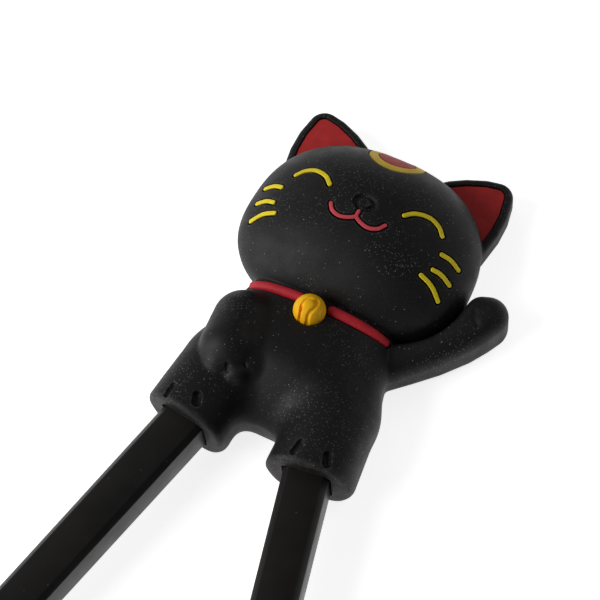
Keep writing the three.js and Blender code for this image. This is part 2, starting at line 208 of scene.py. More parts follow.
# how far it stands out in front of BELLY_Z
CHEST = profile((5, 7.7), (10, 7.7), (14.5, 7.6), (18, 7.1), (20.5, 6.5), (22.7, 5.8),
                (24.1, 5.3), (25.6, 4.7), (29, 3.6))


def belly(p):
    """The trunk: round below BELLY_Y, and above it a section that narrows to the neck."""
    y = np.clip(p[:, 1], 4, 30)
    half = np.empty_like(p)
    half[:, 0] = FLANK(y)
    half[:, 1] = BELLY_BELOW
    half[:, 2] = np.where(p[:, 2] > BELLY_Z, CHEST(y), BELLY_DEPTH)
    low = np.column_stack([p[:, 0], np.minimum(p[:, 1], BELLY_Y), p[:, 2]])
    front = np.interp(p[:, 1], [8, 11, 14, 17], [1.5, 1.6, 1.95, 2.3])
    rise = np.where(p[:, 2] > BELLY_Z, front, BELLY_BACK_POWER)
    return bun(low, np.array([0, BELLY_Y, BELLY_Z]), half, BELLY_PLAN, rise)


LEG_X, LEG_Z, LEG_HALF, LEG_BACK, LEG_TOP = 10.38, 6.0, 6.8, 8.2, 14.8
INSTEP, INSTEP_FROM = 6.45, 2.5
LEG_LEAN, LEG_SLIM, INSTEP_FALL = 0.075, 0.045, 0.009
LEG_PLAN, LEG_FRONT_POWER, LEG_BACK_POWER = 2.6, 2.25, 2.8
HIP_SOFTNESS = 3.0


def leg(p, side):
    """A column under the trunk that leans in, slims and thins upwards."""
    y = p[:, 1]
    x = side * p[:, 0] - (LEG_X - LEG_LEAN * y)
    q = np.column_stack([x, np.zeros(len(p)), p[:, 2] - LEG_Z])
    front = q[:, 2] > 0
    half = np.empty_like(p)
    half[:, 0] = LEG_HALF - LEG_SLIM * y
    half[:, 1] = 1.0
    instep = INSTEP - INSTEP_FALL * np.clip(y - INSTEP_FROM, 0, 14) ** 2
    half[:, 2] = np.where(front, instep, LEG_BACK)
    column = bun(q, np.zeros(3), half, LEG_PLAN, np.where(front, LEG_FRONT_POWER, LEG_BACK_POWER))
    return smax(column, y - LEG_TOP, 4.0)


def sole_plane(p, side):
    """Height above the tilted sole of one foot; negative is below it."""
    x = side * p[:, 0] - STICK_MOUTH[0]
    return p[:, 1] * math.cos(SOLE_TILT) - x * math.sin(SOLE_TILT)


def torso(p):
    legs = np.where(p[:, 0] < 0, leg(p, -1), leg(p, 1))
    d = smin(belly(p), legs, HIP_SOFTNESS)
    side = np.where(p[:, 0] < 0, -1, 1)
    return smax(d, -sole_plane(p, side), np.interp(p[:, 2], [1, 6], [2.7, 0.9]))


LOW_SHOULDER, LOW_PAW, LOW_RADIUS = (-9.55, 17.9, 8.9), (-8.75, 12.6, 10.5), 4.7
LOW_TOES = [(-9.1, 9.7, 11.0, 2.5), (-5.85, 9.0, 11.3, 1.55), (-4.9, 11.5, 10.9, 1.8)]
LOW_CREASES = [[(-7.15, 9.0), (-6.85, 8.2)], [(-4.95, 10.4), (-4.6, 10.0)]]


def low_limb(p):
    d = rod(p, LOW_SHOULDER, LOW_PAW, LOW_RADIUS)
    for *toe, radius in LOW_TOES:
        d = smin(d, np.linalg.norm(p - np.array(toe), axis=1) - radius, 0.6)
    return d


def top_z(shape, plan):
    """Height of a shape's front at plan points, by bisection."""
    plan = np.array(plan, float)
    low, high = np.full(len(plan), 6.0), np.full(len(plan), 18.0)
    for _ in range(24):
        mid = (low + high) / 2
        inside = shape(np.column_stack([plan, mid])) < 0
        low, high = np.where(inside, mid, low), np.where(inside, high, mid)
    return low


def laid_on(shape, plan, lift=0.0):
    plan = np.array(plan, float)
    return np.column_stack([plan, top_z(shape, plan) + lift])


LOW_GROOVES = [laid_on(low_limb, crease, -0.05) for crease in LOW_CREASES]


def low_arm(p):
    d = low_limb(p)
    for groove in LOW_GROOVES:
        d = smax(d, -chain(p, groove, 0.26), 0.3)
    return d


HIGH_ARM = [(22.75, 35.5), (21.85, 33.75), (20.3, 31.25), (17.4, 27.75), (14.3, 24.7),
            (11.0, 21.6), (9, 26), (14, 31), (19.5, 34.5)]
HIGH_CREASES = [[(27.0, 34.2, 8.0), (25.6, 33.6, 8.2)], [(25.4, 30.6, 7.6), (24.0, 31.1, 8.0)],
                [(21.2, 34.6, 8.6), (21.6, 33.4, 8.7), (22.5, 32.6, 8.6)]]
HIGH_ARM_ROUND = 3.35  # the outline stands this far outside HIGH_ARM
HIGH_ARM_TOP, HIGH_ARM_RISE = 5.9, 0.115  # height of its front on the middle line, and rise per mm
MOAT = 0.7  # how far the arm's upper edge stays off the head


def high_arm(p):
    flat = polygon(p[:, 0], p[:, 1], HIGH_ARM) - HIGH_ARM_ROUND
    top = HIGH_ARM_TOP + HIGH_ARM_RISE * p[:, 0]
    full = smax(slab(flat, p[:, 2], -0.5, top, 3.0), MOAT - head(p), 1.6)
    d = smin(full, slab(flat + 1.0, p[:, 2], -0.5, 4.6, 1.8), 1.0)
    for crease in HIGH_CREASES:
        d = smax(d, -chain(p, np.array(crease), 0.3), 0.5)
    return d


EAR = [(15.1, 55.6), (13.3, 55.25), (10.7, 54.2), (8.65, 53.0), (6.0, 50.8), (7.0, 45),
       (14.8, 45), (15.6, 50), (15.6, 52.9)]
EAR_FRONT, EAR_BACK, EAR_EDGE, EAR_POCKET = 5.0, 0.8, 0.9, 0.9
EAR_ROUND, EAR_SHIFT = 2.63, 0.02
EAR_RIM, EAR_INLAY_GAP = 1.22, 0.12


def ear_flat(p):
    return polygon(np.abs(p[:, 0]) + EAR_SHIFT, p[:, 1], EAR) - EAR_ROUND


def ears(p):
    flat = ear_flat(p)
    plate = slab(flat, p[:, 2], EAR_BACK, EAR_FRONT, EAR_EDGE)
    pocket = slab(flat + EAR_RIM, p[:, 2], EAR_FRONT - EAR_POCKET, EAR_FRONT + 3, 0.15)
    return smax(plate, -pocket, 0.15)


def stick_axes(side):
    """Columns: across the stick, out of its front face, and down along it."""
    down = np.array([side * math.sin(STICK_SPLAY) * math.cos(STICK_DROOP),
                     -math.cos(STICK_SPLAY) * math.cos(STICK_DROOP), -math.sin(STICK_DROOP)])
    across = np.cross([0, 0, 1], down)
    across /= np.linalg.norm(across)
    return np.column_stack([across, np.cross(down, across), down])


def socket(p, side):
    """The square hole that holds one stick."""
    q = (p - STICK_MOUTH * (side, 1, 1)) @ stick_axes(side)
    d = np.maximum(np.abs(q[:, 0]), np.abs(q[:, 1])) - SOCKET_HALF
    across = np.abs(q[:, 0]) + np.abs(q[:, 1])
    corner = (across - 2 * SOCKET_HALF + SOCKET_CHAMFER) / math.sqrt(2)
    return np.maximum(np.maximum(d, corner), -q[:, 2] - SOCKET_DEPTH)


# Upper end, lower end and radius of the two notches in each foot.
TOE_NOTCHES = [[(-13.1, 3.0), (-13.3, 1.2), 0.42], [(-8.95, 2.9), (-8.6, 1.95), 0.7],
               [(8.1, 3.0), (7.75, 1.2), 0.5], [(12.6, 2.85), (13.0, 1.75), 0.7]]


def masked(p, low, high, fn, away=9.0):
    """fn evaluated only inside a box; elsewhere a value too large to matter."""
    d = np.full(len(p), away)
    near = np.all((p > low) & (p < high), axis=1)
    if near.any():
        d[near] = fn(p[near])
    return d


LINES = []
for side in (-1, 1):
    LINES.append(on_face(smooth_plan(EYE), side=side))
    for rows in WHISKERS.values():
        LINES.append(on_face(smooth_plan(rows, 3), side=side))
MOUTH_LINES = [on_face(smooth_plan(MOUTH_HALF), side=-1), on_face(smooth_plan(MOUTH_HALF), side=1),
               on_face(MOUTH_STEM)]


def emblem_frame():
    x, y, step = EMBLEM["x"], EMBLEM["y"], 0.05
    slope_x = (face_z(x + step, y) - face_z(x - step, y)) / (2 * step)
    slope_y = (face_z(x, y + step) - face_z(x, y - step)) / (2 * step)
    normal = np.array([-slope_x, -slope_y, 1.0])
    return np.array([x, y, face_z(x, y)]), normal / np.linalg.norm(normal)


EMBLEM_POINT, EMBLEM_NORMAL = emblem_frame()


def emblem_radius(p):
    q = p - EMBLEM_POINT
    along = q @ EMBLEM_NORMAL
    return np.sqrt(np.maximum((q * q).sum(1) - along**2, 0))


def emblem_recess(p):
    flat = emblem_radius(p) - EMBLEM["outer"] - EMBLEM["gap"]
    return np.maximum(flat, -EMBLEM["depth"] - head(p))


def nose_ring(p):
    """Distance from the loop engraved round the nose."""
    x, y = (p[:, 0] - NOSE_X) / NOSE_STRETCH, p[:, 1] - NOSE_Y
    ring = np.hypot(x, y) - NOSE_RADIUS
    return np.hypot(ring, p[:, 2] - face_z(NOSE_X, NOSE_Y) + 0.15) - NOSE_GROOVE


COLLAR_Y, COLLAR_RADIUS, COLLAR_SINK = 24.35, 0.8, 0.7
COLLAR_SPAN = {-1: (2.9, 11.1), 1: (2.45, 11.05)}
BELL = np.array([-0.5, 22.65, 11.7])
BELL_RADIUS, BELL_GAP, STRAP_GAP = 2.5, 0.2, 0.3


def collar_path(side):
    x = np.linspace(*COLLAR_SPAN[side], 12)
    sink = COLLAR_SINK * ((x - x[0]) / (x[-1] - x[0])) ** 3
    return laid_on(torso, np.column_stack([side * x, np.full(len(x), COLLAR_Y)]), 0.1 - sink)


COLLARS = {side: collar_path(side) for side in (-1, 1)}
NOTCHES = [(laid_on(torso, [upper, lower], -0.05), radius) for upper, lower, radius in TOE_NOTCHES]
GROOVE_EDGE = 0.14  # how softly the moulding turns into the grooves of its inlays


def body_skin(p):
    d = head(p)
    d = smin(d, masked(p, (-22, 40, -2), (22, 62, 9), ears), 0.5)
    trunk = masked(p, (-20, -6, -3), (20, 36, 18), torso)
    arm = masked(p, (-18, 4, -2), (0, 27, 18), low_arm)
    blend = np.interp(p[:, 0], [-13, -9, -4], [0.35, 0.7, 1.5])
    trunk = smin(trunk, arm, blend)
    trunk = smin(trunk, masked(p, (0, 12, -3), (30, 43, 13), high_arm), 0.6)
    d = smin(d, trunk, 0.3)
    d = smax(d, -p[:, 2], 0.8)
    for path in LINES:
        d = smax(d, -chain(p, path, LINE_RADIUS + LINE_GAP), GROOVE_EDGE)
    for path in MOUTH_LINES:
        d = smax(d, -chain(p, path, MOUTH_RADIUS + LINE_GAP), GROOVE_EDGE)
    d = smax(d, -masked(p, (-3, 38, 14), (3, 43, 19), nose_ring), 0.08)
    d = smax(d, -masked(p, (-8, 45, 2), (6, 58, 18), emblem_recess), 0.12)
    for path in COLLARS.values():
        d = smax(d, -chain(p, path, COLLAR_RADIUS + LINE_GAP), GROOVE_EDGE)
    d = smax(d, -(np.linalg.norm(p - BELL, axis=1) - BELL_RADIUS - BELL_GAP), GROOVE_EDGE)
    for path, radius in NOTCHES:
        d = smax(d, -chain(p, path, radius), 0.2)
    for side in (-1, 1):
        hole = masked(p, (-18, -8, -1), (18, 19, 13), lambda q, s=side: socket(q, s))
        d = smax(d, -hole, 0.15)
    return d


# ------------------------------------------------------------------ meshes from distances
def gradient(sdf, p, step):
    """Value and gradient from four samples round each point."""
    taps = np.array([[1, -1, -1], [-1, -1, 1], [-1, 1, -1], [1, 1, 1]], float)
    values = [sdf(p + step * tap) for tap in taps]
    slope = sum(v[:, None] * tap for v, tap in zip(values, taps)) / (4 * step)
    return sum(values) / 4, slope


def refine(sdf, p, cell):
    """Pulls the vertices onto the surface."""
    for _ in range(2):
        value, slope = gradient(sdf, p, 0.02)
        move = value / np.maximum((slope**2).sum(1), 0.2)
        p = p - np.clip(move, -cell, cell)[:, None] * slope
    return p


def polygonise(sdf, low, high, cell, split=1, tolerance=0.01):
    """Dual mesh of the surface: a vertex in each crossed cell, with cells split where it turns."""
    low, high = np.array(low, float), np.array(high, float)
    n = np.ceil((high - low) / cell).astype(int)
    grids = np.meshgrid(*[np.arange(k + 1) for k in n], indexing="ij")
    corners = np.stack([g.ravel() for g in grids], 1)
    field = sdf(low + cell * corners).reshape(n + 1)
    split_cells = np.zeros(n, bool)
    if split > 1:
        ends = (0, 1)
        mean = sum(field[i:n[0] + i, j:n[1] + j, k:n[2] + k]
                   for i in ends for j in ends for k in ends) / 8
        near = np.argwhere(np.abs(mean) < cell)
        middle = sdf(low + cell * (near + 0.5))
        bent = np.abs(middle - mean[tuple(near.T)]) > tolerance
        split_cells[tuple(near[bent].T)] = True
    fine_n = n * split
    fine = np.full(fine_n + 1, np.nan, np.float32)
    mask = np.zeros(fine_n + 1, bool)
    chosen = np.argwhere(split_cells)
    steps = np.arange(split + 1)
    for i in steps:
        for j in steps:
            for k in steps:
                mask[tuple((chosen * split + (i, j, k)).T)] = True
    points = np.argwhere(mask)
    if len(points):
        fine[tuple(points.T)] = sdf(low + cell / split * points)
    faces, cross = [], []
    offset = int(np.prod(n))

    def cell_ids(cells):
        parent = cells // split
        coarse = np.ravel_multi_index(tuple(parent.T), n)
        small = np.ravel_multi_index(tuple(cells.T), fine_n) + offset
        return np.where(split_cells[tuple(parent.T)], small, coarse)

    around = [(0, 0), (-1, 0), (-1, -1), (0, -1)]
    for a in range(3):
        b, c = (a + 1) % 3, (a + 2) % 3
        ea, eb, ec = np.eye(3, dtype=int)[[a, b, c]]
        # whole edges, away from split cells
        first = np.take(field, np.arange(n[a]), axis=a)
        second = np.take(field, np.arange(1, n[a] + 1), axis=a)
        at = np.argwhere((first < 0) != (second < 0))
        ids = []
        free = np.ones(len(at), bool)
        for u, v in around:
            cells = at + u * eb + v * ec
            free &= ~split_cells[tuple(cells.T)]
            ids.append(np.ravel_multi_index(tuple(cells.T), n))
        d0, d1 = first[tuple(at.T)], second[tuple(at.T)]
        t = d0 / (d0 - d1)
        where = (at + t[:, None] * ea) * cell
        faces.append(np.where((d0 < 0)[:, None], np.stack(ids, 1), np.stack(ids[::-1], 1))[free])
        cross.append(where[free])
        if not len(points):
            continue
        # small edges, next to at least one split cell
        nxt = points + ea
        inside = nxt[:, a] <= fine_n[a]
        p0, p1 = points[inside], nxt[inside]
        d0, d1 = fine[tuple(p0.T)], fine[tuple(p1.T)]
        hit = ~np.isnan(d1) & ((d0 < 0) != (d1 < 0))
        p0, d0, d1 = p0[hit], d0[hit].astype(float), d1[hit].astype(float)
        ids, any_split = [], np.zeros(len(p0), bool)
        for u, v in around:
            cells = p0 + u * eb + v * ec
            any_split |= split_cells[tuple((cells // split).T)]
            ids.append(cell_ids(cells))
        t = d0 / (d0 - d1)
        where = (p0 + t[:, None] * ea) * cell / split
        turned = np.where((d0 < 0)[:, None], np.stack(ids, 1), np.stack(ids[::-1], 1))
        faces.append(turned[any_split])
        cross.append(where[any_split])
    faces, cross = np.vstack(faces), np.vstack(cross)
    used, index = np.unique(faces.ravel(), return_inverse=True)
    index = index.reshape(-1, 4)
    total = np.zeros((len(used), 3))
    count = np.bincount(index.ravel(), minlength=len(used))
    for k in range(3):
        total[:, k] = np.bincount(index.ravel(), weights=np.repeat(cross[:, k], 4),
                                  minlength=len(used))
    vertices = low + total / count[:, None]
    same = index == np.roll(index, -1, axis=1)
    quads = index[~same.any(1)]
    loose = index[same.any(1)]
    where = np.zeros(0, int)
    if len(loose):
        where = np.argmax(loose == np.roll(loose, -1, axis=1), axis=1)
    keep = np.ones(loose.shape, bool)
    keep[np.arange(len(loose)), where] = False
    triangles = loose[keep].reshape(-1, 3)
    return refine(sdf, vertices, cell / split), quads, triangles


def smooth_normals(sdf, p, step=0.05):
    _, slope = gradient(sdf, p, step)
    return slope / np.maximum(np.linalg.norm(slope, axis=1), 1e-9)[:, None]


def make_mesh(name, vertices, quads, triangles, normals=None, values=None):
    """A Blender object from arrays in millimetres, in the sole frame."""
    used = np.unique(np.concatenate([quads.ravel(), triangles.ravel()]))
    lookup = np.zeros(len(vertices), int)
    lookup[used] = np.arange(len(used))
    place = (vertices[used] - (0, SOLES, 0)) * MM
    loops = np.concatenate([lookup[quads].ravel(), lookup[triangles].ravel()]).astype(np.int32)
    starts = np.concatenate([np.arange(len(quads)) * 4,
                             len(quads) * 4 + np.arange(len(triangles)) * 3])
    mesh = bpy.data.meshes.new(name)
    mesh.vertices.add(len(used))
    mesh.vertices.foreach_set("co", place.astype(np.float32).ravel())
    mesh.loops.add(len(loops))
    mesh.loops.foreach_set("vertex_index", loops)
    mesh.polygons.add(len(starts))
    mesh.polygons.foreach_set("loop_start", starts.astype(np.int32))
    mesh.update(calc_edges=True)
    mesh.validate()
    rest = mesh.attributes.new("rest", "FLOAT_VECTOR", "POINT")
    rest.data.foreach_set("vector", place.astype(np.float32).ravel())
    for key, value in (values or {}).items():
        attribute = mesh.attributes.new(key, "FLOAT", "POINT")
        attribute.data.foreach_set("value", value[used].astype(np.float32))
    mesh.shade_smooth()
    if normals is not None:
        mesh.normals_split_custom_set_from_vertices(normals[used])
    piece = bpy.data.objects.new(name, mesh)
    bpy.context.scene.collection.objects.link(piece)
    return piece


def inlay(name, sdf, low, high, cell=0.1):
    vertices, quads, triangles = polygonise(sdf, low, high, cell)
    return make_mesh(name, vertices, quads, triangles, smooth_normals(sdf, vertices))


# ------------------------------------------------------------------ materials
def principled(name):
    material = bpy.data.materials.new(name)
    material.use_nodes = True
    tree = material.node_tree
    return material, tree, tree.nodes["Principled BSDF"]


def node(tree, kind, **settings):
    made = tree.nodes.new(kind)
    for key, value in settings.items():
        if key in made.inputs:
            made.inputs[key].default_value = value
        else:
            setattr(made, key, value)
    return made


def ramp(tree, source, stops):
    made = tree.nodes.new("ShaderNodeValToRGB")
    elements = made.color_ramp.elements
    while len(elements) < len(stops):
        elements.new(0.5)
    for element, (position, colour) in zip(elements, stops):
        element.position = position
        element.color = (*colour, 1) if len(colour) == 3 else (colour[0],) * 3 + (1,)
    tree.links.new(source, made.inputs["Fac"])
    return made.outputs["Color"]


def rest_point(tree):
    attribute = node(tree, "ShaderNodeAttribute", attribute_name="rest")
    return attribute.outputs["Vector"]


def maths(tree, operation, a, b, clamp=False):
    made = node(tree, "ShaderNodeMath", operation=operation, use_clamp=clamp)
    for entry, value in zip(made.inputs, (a, b)):
        if isinstance(value, (int, float)):
            entry.default_value = value
        else:
            tree.links.new(value, entry)
    return made.outputs[0]


def noise(tree, point, scale, detail=2.0, roughness=0.5):
    made = node(tree, "ShaderNodeTexNoise", Scale=scale, Detail=detail, Roughness=roughness)
    tree.links.new(point, made.inputs["Vector"])
    return made.outputs["Fac"]


def specks(tree, point, scale, size, share):
    """Small round dots: 1 on a dot, 0 off it. share is how many of the cells have one."""
    cells = node(tree, "ShaderNodeTexVoronoi", Scale=scale)
    tree.links.new(point, cells.inputs["Vector"])
    near = maths(tree, "LESS_THAN", cells.outputs["Distance"], size)
    colour = node(tree, "ShaderNodeSeparateColor")
    tree.links.new(cells.outputs["Color"], colour.inputs[0])
    some = maths(tree, "LESS_THAN", colour.outputs[0], share)
    return maths(tree, "MULTIPLY", near, some)


def mix_colour(tree, factor, a, b):
    made = node(tree, "ShaderNodeMix", data_type="RGBA")
    tree.links.new(factor, made.inputs[0])
    for entry, value in ((made.inputs[6], a), (made.inputs[7], b)):
        if isinstance(value, tuple):
            entry.default_value = (*value, 1)
        else:
            tree.links.new(value, entry)
    return made.outputs[2]


def bump(tree, shader, height, strength, distance):
    made = node(tree, "ShaderNodeBump", Strength=strength, Distance=distance)
    tree.links.new(height, made.inputs["Height"])
    tree.links.new(made.outputs["Normal"], shader.inputs["Normal"])


# The first grey is the lighter grey for convex edges and sole rims: a painted rim highlight, made
# patchy like scuffing. The second grey is for dust specks.
RIM_HIGHLIGHT_AND_SCUFF_GREY, DUST_GREY = (0.14, 0.135, 0.13), (0.3, 0.29, 0.28)


def black_silicone():
    material, tree, shader = principled("black_silicone")
    point = rest_point(tree)
    cloud = noise(tree, point, 130.0, 3.0, 0.6)
    base = ramp(tree, cloud, [(0.3, (0.0062, 0.006, 0.0062)), (0.7, (0.0092, 0.0088, 0.009))])
    patch = ramp(tree, noise(tree, point, 90.0, 2.0), [(0.44, (0.15,)), (0.63, (1.0,))])
    fine = maths(tree, "MULTIPLY", specks(tree, point, 3000.0, 0.22, 0.68), patch)
    large = maths(tree, "MULTIPLY", specks(tree, point, 1500.0, 0.12, 0.32), 1.6)
    dots = maths(tree, "MAXIMUM", fine, large)
    # Convex edges and sole rims turn a lighter grey: a painted rim highlight, broken up by noise
    # like scuffing.
    rim_highlight_and_wear = node(tree, "ShaderNodeAttribute", attribute_name="edge").outputs["Fac"]
    patches = maths(tree, "SUBTRACT", noise(tree, point, 900.0, 4.0, 0.7), 0.3)
    rim_highlight_and_scuff = maths(tree, "MULTIPLY", rim_highlight_and_wear, patches)
    tone = mix_colour(tree, maths(tree, "MULTIPLY", rim_highlight_and_scuff, 0.75, True), base, RIM_HIGHLIGHT_AND_SCUFF_GREY)
    colour = mix_colour(tree, maths(tree, "MULTIPLY", dots, 0.36, True), tone, DUST_GREY)
    tree.links.new(colour, shader.inputs["Base Color"])
    rough = ramp(tree, noise(tree, point, 420.0, 3.0), [(0.3, (0.5,)), (0.75, (0.64,))])
    tree.links.new(rough, shader.inputs["Roughness"])
    shader.inputs["Specular IOR Level"].default_value = 0.22
    grain = noise(tree, point, 2600.0, 3.0, 0.6)
    bump(tree, shader, grain, 0.25, 0.00004)
    return material


SOFT_ROUGH = 0.6


def coloured_silicone(name, low, high):
    material, tree, shader = principled(name)
    point = rest_point(tree)
    cloud = noise(tree, point, 500.0, 3.0, 0.6)
    colour = ramp(tree, cloud, [(0.3, low), (0.7, high)])
    dots = maths(tree, "MULTIPLY", specks(tree, point, 1700.0, 0.2, 0.1), 0.35)
    dirt = tuple(c * 0.35 for c in low)
    tree.links.new(mix_colour(tree, dots, colour, dirt), shader.inputs["Base Color"])
    rough = ramp(tree, noise(tree, point, 1200.0),
                 [(0.3, (SOFT_ROUGH - 0.06,)), (0.7, (SOFT_ROUGH + 0.06,))])
    tree.links.new(rough, shader.inputs["Roughness"])
    shader.inputs["Specular IOR Level"].default_value = 0.25
    bump(tree, shader, noise(tree, point, 2600.0, 3.0), 0.25, 0.00004)
    return material


def stick_plastic():
    material, tree, shader = principled("stick_plastic")
    point = rest_point(tree)
    cloud = noise(tree, point, 60.0, 3.0, 0.6)
    base = ramp(tree, cloud, [(0.3, (0.0062, 0.0055, 0.0052)), (0.7, (0.0095, 0.0078, 0.007))])
    dots = maths(tree, "MULTIPLY", specks(tree, point, 1100.0, 0.09, 0.12), 0.3)
    tree.links.new(mix_colour(tree, dots, base, DUST_GREY), shader.inputs["Base Color"])
    rough = ramp(tree, noise(tree, point, 260.0, 4.0), [(0.3, (0.34,)), (0.75, (0.46,))])
    tree.links.new(rough, shader.inputs["Roughness"])
    shader.inputs["Specular IOR Level"].default_value = 0.3
    bump(tree, shader, noise(tree, point, 1500.0, 3.0), 0.12, 0.00003)
    return material


BLACK = black_silicone()
STICK = stick_plastic()
YELLOW = coloured_silicone("line_yellow", (0.7, 0.55, 0.013), (0.84, 0.67, 0.02))
EAR_RED = coloured_silicone("ear_red", (0.4, 0.022, 0.022), (0.52, 0.03, 0.03))
DISC_RED = coloured_silicone("disc_red", (0.3, 0.018, 0.01), (0.4, 0.027, 0.014))
GOLD = coloured_silicone("gold_silicone", (0.57, 0.365, 0.016), (0.7, 0.47, 0.028))
MOUTH_RED = coloured_silicone("mouth_red", (0.52, 0.05, 0.065), (0.66, 0.08, 0.1))
COLLAR_RED = coloured_silicone("collar_red", (0.41, 0.014, 0.025), (0.54, 0.023, 0.036))
BELL_YELLOW = coloured_silicone("bell_yellow", (0.94, 0.46, 0.002), (1.0, 0.53, 0.004))


def finish_piece(piece, material, body, slot, *nodes):
    piece.data.materials.clear()
    piece.data.materials.append(material)
    if body:
        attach(piece, body)
    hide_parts(*nodes)
    return piece


# ------------------------------------------------------------------ camera and light
CAMERA_PLACE = Vector((79.24, -97.57 - SOLES, 308.22)) * MM
CAMERA_TURN, CAMERA_TILT, CAMERA_ROLL = 34.033, 26.243, -7.717  # degrees; 0 is straight down
CAMERA_LENS = 132.2


def look():
    data = bpy.data.cameras.new("camera")
    data.lens, data.sensor_width = CAMERA_LENS, 36.0
    data.clip_start, data.clip_end = 0.01, 20.0
    camera = bpy.data.objects.new("camera", data)
    bpy.context.scene.collection.objects.link(camera)
    turn, tilt, roll = [Matrix.Rotation(math.radians(angle), 4, axis) for angle, axis in
                        ((CAMERA_TURN, "Z"), (CAMERA_TILT, "X"), (CAMERA_ROLL, "Z"))]
    camera.matrix_world = Matrix.Translation(CAMERA_PLACE) @ turn @ tilt @ roll
    bpy.context.scene.camera = camera


look()


def area_light(name, place, size, watts):
    """A soft round light that faces the origin."""
    data = bpy.data.lights.new(name, "AREA")
    data.shape, data.size, data.energy = "DISK", size, watts
    light = bpy.data.objects.new(name, data)
    bpy.context.scene.collection.objects.link(light)
    light.location = place
    light.rotation_mode = "QUATERNION"
    light.rotation_quaternion = (-Vector(place)).to_track_quat("-Z", "Y")


area_light("key", (-0.61, -0.49, 0.44), 0.8, 7.8)
area_light("fill", (-0.5, 0.35, 0.5), 0.6, 0.4)
area_light("back", (0.45, 0.65, 0.45), 0.6, 0.9)
world = bpy.data.worlds.new("world")
world.use_nodes = True
world.node_tree.nodes["Background"].inputs["Color"].default_value = (1, 1, 1, 1)
world.node_tree.nodes["Background"].inputs["Strength"].default_value = 0.1
bpy.context.scene.world = world
bpy.context.scene.view_settings.view_transform = "Standard"


def floor():
    mesh = bpy.data.meshes.new("floor")
    reach, drop = 4.0, -0.0003
    corners = [(x * reach, y * reach, drop) for x, y in ((-1, -1), (1, -1), (1, 1), (-1, 1))]
    mesh.from_pydata(corners, [], [(0, 1, 2, 3)])
    piece = bpy.data.objects.new("floor", mesh)
    bpy.context.scene.collection.objects.link(piece)
    material, _, shader = principled("floor")
    shader.inputs["Base Color"].default_value = (0.9, 0.9, 0.9, 1)
    shader.inputs["Roughness"].default_value = 0.9
    shader.inputs["Specular IOR Level"].default_value = 0.0
    shader.inputs["Emission Color"].default_value = (1, 1, 1, 1)
    shader.inputs["Emission Strength"].default_value = 0.8
    mesh.materials.append(material)


floor()

# ------------------------------------------------------------------ the black moulding
skin, quads, triangles = polygonise(body_skin, (-21, -2.5, -1), (28, 60, 18.5),
                                    cell=0.4, split=4, tolerance=0.012)
normals = smooth_normals(body_skin, skin)


def bend(sdf, p, step):
    """How sharply the surface turns outward, from the distance's Laplacian."""
    total = -6 * sdf(p)
    for k in range(3):
        for way in (-step, step):
            total += sdf(p + way * np.eye(3)[k])
    return total / step**2


# How convex the skin is, kept as the "edge" attribute; black_silicone paints a lighter rim
# highlight with scuffing where it is high.
RIM_BEND_STEP, RIM_BEND_FROM, RIM_BEND_SPAN = 0.35, 0.35, 1.6
edge = np.clip((bend(body_skin, skin, RIM_BEND_STEP) - RIM_BEND_FROM) / RIM_BEND_SPAN, 0, 1)
edge *= np.interp(skin[:, 1], [1.2, 2.2], [1, 0.4])  # full strength at the sole rims: painted highlight there, with scuffing

BEND_FROM = 5.0  # a leg's skin piece reaches this far above the soles, on the middle line


def leg_share(p, side):
    """Above 0 where the silicone goes to that side's leg skin."""
    return side * p[:, 0] - (p[:, 1] - BEND_FROM)


def in_socket(p, side):
    """Whether points are on the walls or the end of one socket, past its mouth."""
    q = (p - STICK_MOUTH * (side, 1, 1)) @ stick_axes(side)
    deep = (q[:, 2] < -LINING_FROM) & (q[:, 2] > -SOCKET_DEPTH - 0.1)
    return (np.abs(q[:, :2]).max(1) < SOCKET_HALF + 0.1) & deep


def owners(faces):
    """Which piece a face goes to: 0 the topper, side a leg's skin, 2 * side its socket's lining."""
    owner = np.zeros(len(faces), int)
    for side in (-1, 1):
        moving = (leg_share(skin, side) > 0)[faces].any(1)
        owner[moving & (side * skin[faces][:, :, 0].mean(1) > 0)] = side
        owner[in_socket(skin, side)[faces].all(1)] = 2 * side
    return owner


names = {-1: "left", 1: "right"}
quad_owner, tri_owner = owners(quads), owners(triangles)


def skin_piece(name, owner, body, node_name):
    piece = make_mesh(name, skin, quads[quad_owner == owner], triangles[tri_owner == owner],
                      normals, {"edge": edge})
    return finish_piece(piece, BLACK, body, "black_silicone", node_name)


skin_piece("topper_skin", 0, "topper", "topper_body")
for side, name in names.items():
    piece = skin_piece(f"{name}_leg_skin", side, None, f"{name}_leg")
    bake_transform(piece)
    skin_piece(f"{name}_socket_lining", 2 * side, f"{name}_leg", f"{name}_leg")


# ------------------------------------------------------------------ inlays
def bar_sdf(paths, radius):
    """Rods along the paths, with their tops cut to the shape of the head."""
    def sdf(p):
        d = np.full(len(p), 1e9)
        for path in paths:
            d = np.minimum(d, chain(p, path, radius))
        return smax(d, head(p) - LINE_PROUD, 0.2)
    return sdf


def strap_sdf(path):
    """A rod along the path that stops short of the bell."""
    def sdf(p):
        bell_room = np.linalg.norm(p - BELL, axis=1) - BELL_RADIUS - STRAP_GAP
        return smax(chain(p, path, COLLAR_RADIUS), -bell_room, 0.2)
    return sdf


def ear_inlay(p):
    flat = ear_flat(p) + EAR_RIM + EAR_INLAY_GAP
    plate = slab(flat, p[:, 2], EAR_FRONT - 0.8, EAR_FRONT - 0.2, 0.15)
    return smax(plate, 0.12 - head(p), 0.1)


def box_of(paths, margin):
    points = np.vstack(paths)
    return points.min(0) - margin, points.max(0) + margin


